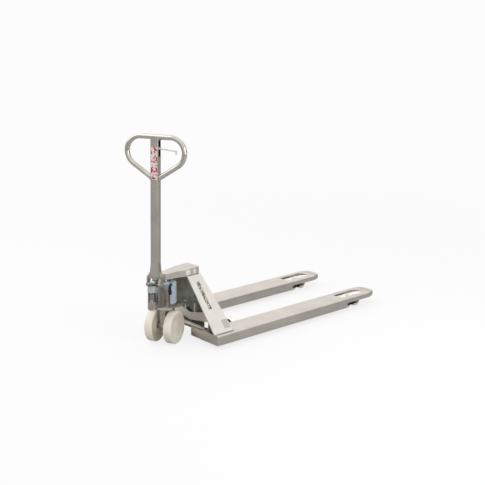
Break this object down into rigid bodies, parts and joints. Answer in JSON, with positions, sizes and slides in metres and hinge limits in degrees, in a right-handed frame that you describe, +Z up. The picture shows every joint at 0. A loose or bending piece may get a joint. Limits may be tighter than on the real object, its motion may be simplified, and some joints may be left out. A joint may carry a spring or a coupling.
{
  "type": "hand pallet truck",
  "caption": "Wide hand pallet truck, lowered and steering turned: two forks with tandem load rollers, sloped struts to a head box, pump with steer wheels and a looped tow handle.",
  "frame": {"origin": "on the floor under the centre of the bounding box", "axes": "+X across the truck to the operator's right, +Y along the forks towards their tips, +Z up"},
  "size_m": [0.685, 1.716, 1.2797],
  "materials": {
    "frame_steel": "satin stainless steel",
    "pump_paint": "satin bluish grey coating",
    "casting": "blasted stainless steel",
    "dark_steel": "black coating",
    "bright_steel": "ground",
    "chrome": "polished",
    "nylon": "moulded cream nylon",
    "black_plastic": "moulded",
    "label": "printed film"
  },
  "bodies": {
    "chassis": {"fork_right": "frame_steel", "fork_left": "frame_steel", "end_plates": "frame_steel", "strut_right": "frame_steel", "strut_left": "frame_steel", "head_box": "frame_steel", "ram_seat": "frame_steel", "bulkhead": "dark_steel", "bulkhead_bolt": "bright_steel", "cross_stay": "frame_steel", "wing_plates": "frame_steel", "cross_shaft": "bright_steel", "yoke_pivot_pins": "bright_steel", "rating_plate": "label", "ram": "chrome"},
    "bracket": {"lift_bracket": "pump_paint", "bracket_pins": "bright_steel"},
    "pump": {"wheel_carrier": "casting", "wheel_axle": "bright_steel", "thrust_washer": "pump_paint", "pump_body": "casting", "tiller_pin": "bright_steel", "oil_tank": "pump_paint", "tank_cap": "pump_paint", "lift_cylinder": "bright_steel", "gland_ring": "bright_steel", "plunger_spring": "dark_steel", "valve_block": "casting"},
    "plunger": {"pump_plunger": "chrome", "plunger_disc": "chrome"},
    "handle": {"tiller_yoke": "casting", "cam_pin": "bright_steel", "handle_tube": "frame_steel", "handle_loop": "frame_steel", "grip_label": "label", "lever_housing": "black_plastic"},
    "cam": {"cam_roller": "bright_steel"},
    "lever": {"control_lever": "bright_steel"},
    "release": {"release_lever": "black_plastic"},
    "rocker": {"rocker": "dark_steel", "crank_pins": "bright_steel"},
    "wheel_right": {"steer_wheel_right": "nylon", "bearings_right": "bright_steel", "wheel_cap_right": "nylon"},
    "rod_right": {"push_rod_right": "dark_steel"},
    "yoke_right": {"roller_yoke_right": "dark_steel"},
    "bogie_right": {"bogie_right": "dark_steel", "roller_axles_right": "bright_steel"},
    "roller_front_right": {"load_roller_front_right": "nylon"},
    "roller_rear_right": {"load_roller_rear_right": "nylon"},
    "wheel_left": {"steer_wheel_left": "nylon", "bearings_left": "bright_steel", "wheel_cap_left": "nylon"},
    "rod_left": {"push_rod_left": "dark_steel"},
    "yoke_left": {"roller_yoke_left": "dark_steel"},
    "bogie_left": {"bogie_left": "dark_steel", "roller_axles_left": "bright_steel"},
    "roller_front_left": {"load_roller_front_left": "nylon"},
    "roller_rear_left": {"load_roller_rear_left": "nylon"}
  },
  "joints": [
    {"name": "pump_lift", "type": "slide", "parent": "chassis", "child": "bracket", "axis": [0, 0, -1], "range_m": [0, 0.115]},
    {"name": "steer", "type": "hinge", "parent": "bracket", "child": "pump", "pos_m": [0, -0.67764, 0.1], "axis": [0, 0, 1], "range_deg": [-120.9, 69.1]},
    {"name": "handle_tilt", "type": "hinge", "parent": "pump", "child": "handle", "pos_m": [0.05766, -0.79638, 0.391], "axis": [0.8996, 0.4368, 0], "range_deg": [0, 75]},
    {"name": "plunger_stroke", "type": "slide", "parent": "pump", "child": "plunger", "axis": [0, 0, -1], "range_m": [0, 0.03591], "deforming": ["plunger_spring"]},
    {"name": "cam_spin", "type": "hinge", "parent": "handle", "child": "cam", "pos_m": [0.06759, -0.81683, 0.4098], "axis": [0.8996, 0.4368, 0], "continuous": true},
    {"name": "control_lever_turn", "type": "hinge", "parent": "handle", "child": "lever", "pos_m": [0.05207, -0.74825, 1.19777], "axis": [-0.4364, 0.8987, -0.0436], "range_deg": [-15, 15]},
    {"name": "release_lever_turn", "type": "hinge", "parent": "pump", "child": "release", "pos_m": [0.03024, -0.73992, 0.3302], "axis": [0.8996, 0.4368, 0], "range_deg": [-15, 15]},
    {"name": "rocker_turn", "type": "hinge", "parent": "chassis", "child": "rocker", "pos_m": [0, -0.30104, 0.06], "axis": [1, 0, 0], "range_deg": [0, 41.45]},
    {"name": "wheel_spin_right", "type": "hinge", "parent": "pump", "child": "wheel_right", "pos_m": [0.06541, -0.66811, 0.1], "axis": [0.8996, 0.4368, 0], "continuous": true},
    {"name": "rod_push_right", "type": "slide", "parent": "chassis", "child": "rod_right", "axis": [0, 1, 0], "range_m": [0, 0.02125]},
    {"name": "yoke_turn_right", "type": "hinge", "parent": "chassis", "child": "yoke_right", "pos_m": [0.2625, 0.50696, 0.042], "axis": [-1, 0, 0], "range_deg": [0, 51.23]},
    {"name": "bogie_turn_right", "type": "hinge", "parent": "yoke_right", "child": "bogie_right", "pos_m": [0.2625, 0.65688, 0.037], "axis": [1, 0, 0], "range_deg": [0, 51.23]},
    {"name": "roller_spin_front_right", "type": "hinge", "parent": "bogie_right", "child": "roller_front_right", "pos_m": [0.2625, 0.61588, 0.037], "axis": [1, 0, 0], "continuous": true},
    {"name": "roller_spin_rear_right", "type": "hinge", "parent": "bogie_right", "child": "roller_rear_right", "pos_m": [0.2625, 0.69788, 0.037], "axis": [1, 0, 0], "continuous": true},
    {"name": "wheel_spin_left", "type": "hinge", "parent": "pump", "child": "wheel_left", "pos_m": [-0.04794, -0.72315, 0.1], "axis": [0.8996, 0.4368, 0], "continuous": true},
    {"name": "rod_push_left", "type": "slide", "parent": "chassis", "child": "rod_left", "axis": [0, 1, 0], "range_m": [0, 0.02125]},
    {"name": "yoke_turn_left", "type": "hinge", "parent": "chassis", "child": "yoke_left", "pos_m": [-0.2625, 0.50696, 0.042], "axis": [-1, 0, 0], "range_deg": [0, 51.23]},
    {"name": "bogie_turn_left", "type": "hinge", "parent": "yoke_left", "child": "bogie_left", "pos_m": [-0.2625, 0.65688, 0.037], "axis": [1, 0, 0], "range_deg": [0, 51.23]},
    {"name": "roller_spin_front_left", "type": "hinge", "parent": "bogie_left", "child": "roller_front_left", "pos_m": [-0.2625, 0.61588, 0.037], "axis": [1, 0, 0], "continuous": true},
    {"name": "roller_spin_rear_left", "type": "hinge", "parent": "bogie_left", "child": "roller_rear_left", "pos_m": [-0.2625, 0.69788, 0.037], "axis": [1, 0, 0], "continuous": true}
  ],
  "couplings": [
    {"joint": "plunger_stroke", "follows": "handle_tilt", "m_per_rad": 0.02742},
    {"joint": "release_lever_turn", "follows": "control_lever_turn", "ratio": 1},
    {"joint": "rocker_turn", "follows": "pump_lift", "rad_per_m": 6.2896},
    {"joint": "rod_push_right", "follows": "pump_lift", "ratio": 0.1846},
    {"joint": "yoke_turn_right", "follows": "pump_lift", "rad_per_m": 7.7735},
    {"joint": "bogie_turn_right", "follows": "pump_lift", "rad_per_m": 7.7735},
    {"joint": "rod_push_left", "follows": "pump_lift", "ratio": 0.1846},
    {"joint": "yoke_turn_left", "follows": "pump_lift", "rad_per_m": 7.7735},
    {"joint": "bogie_turn_left", "follows": "pump_lift", "rad_per_m": 7.7735}
  ]
}
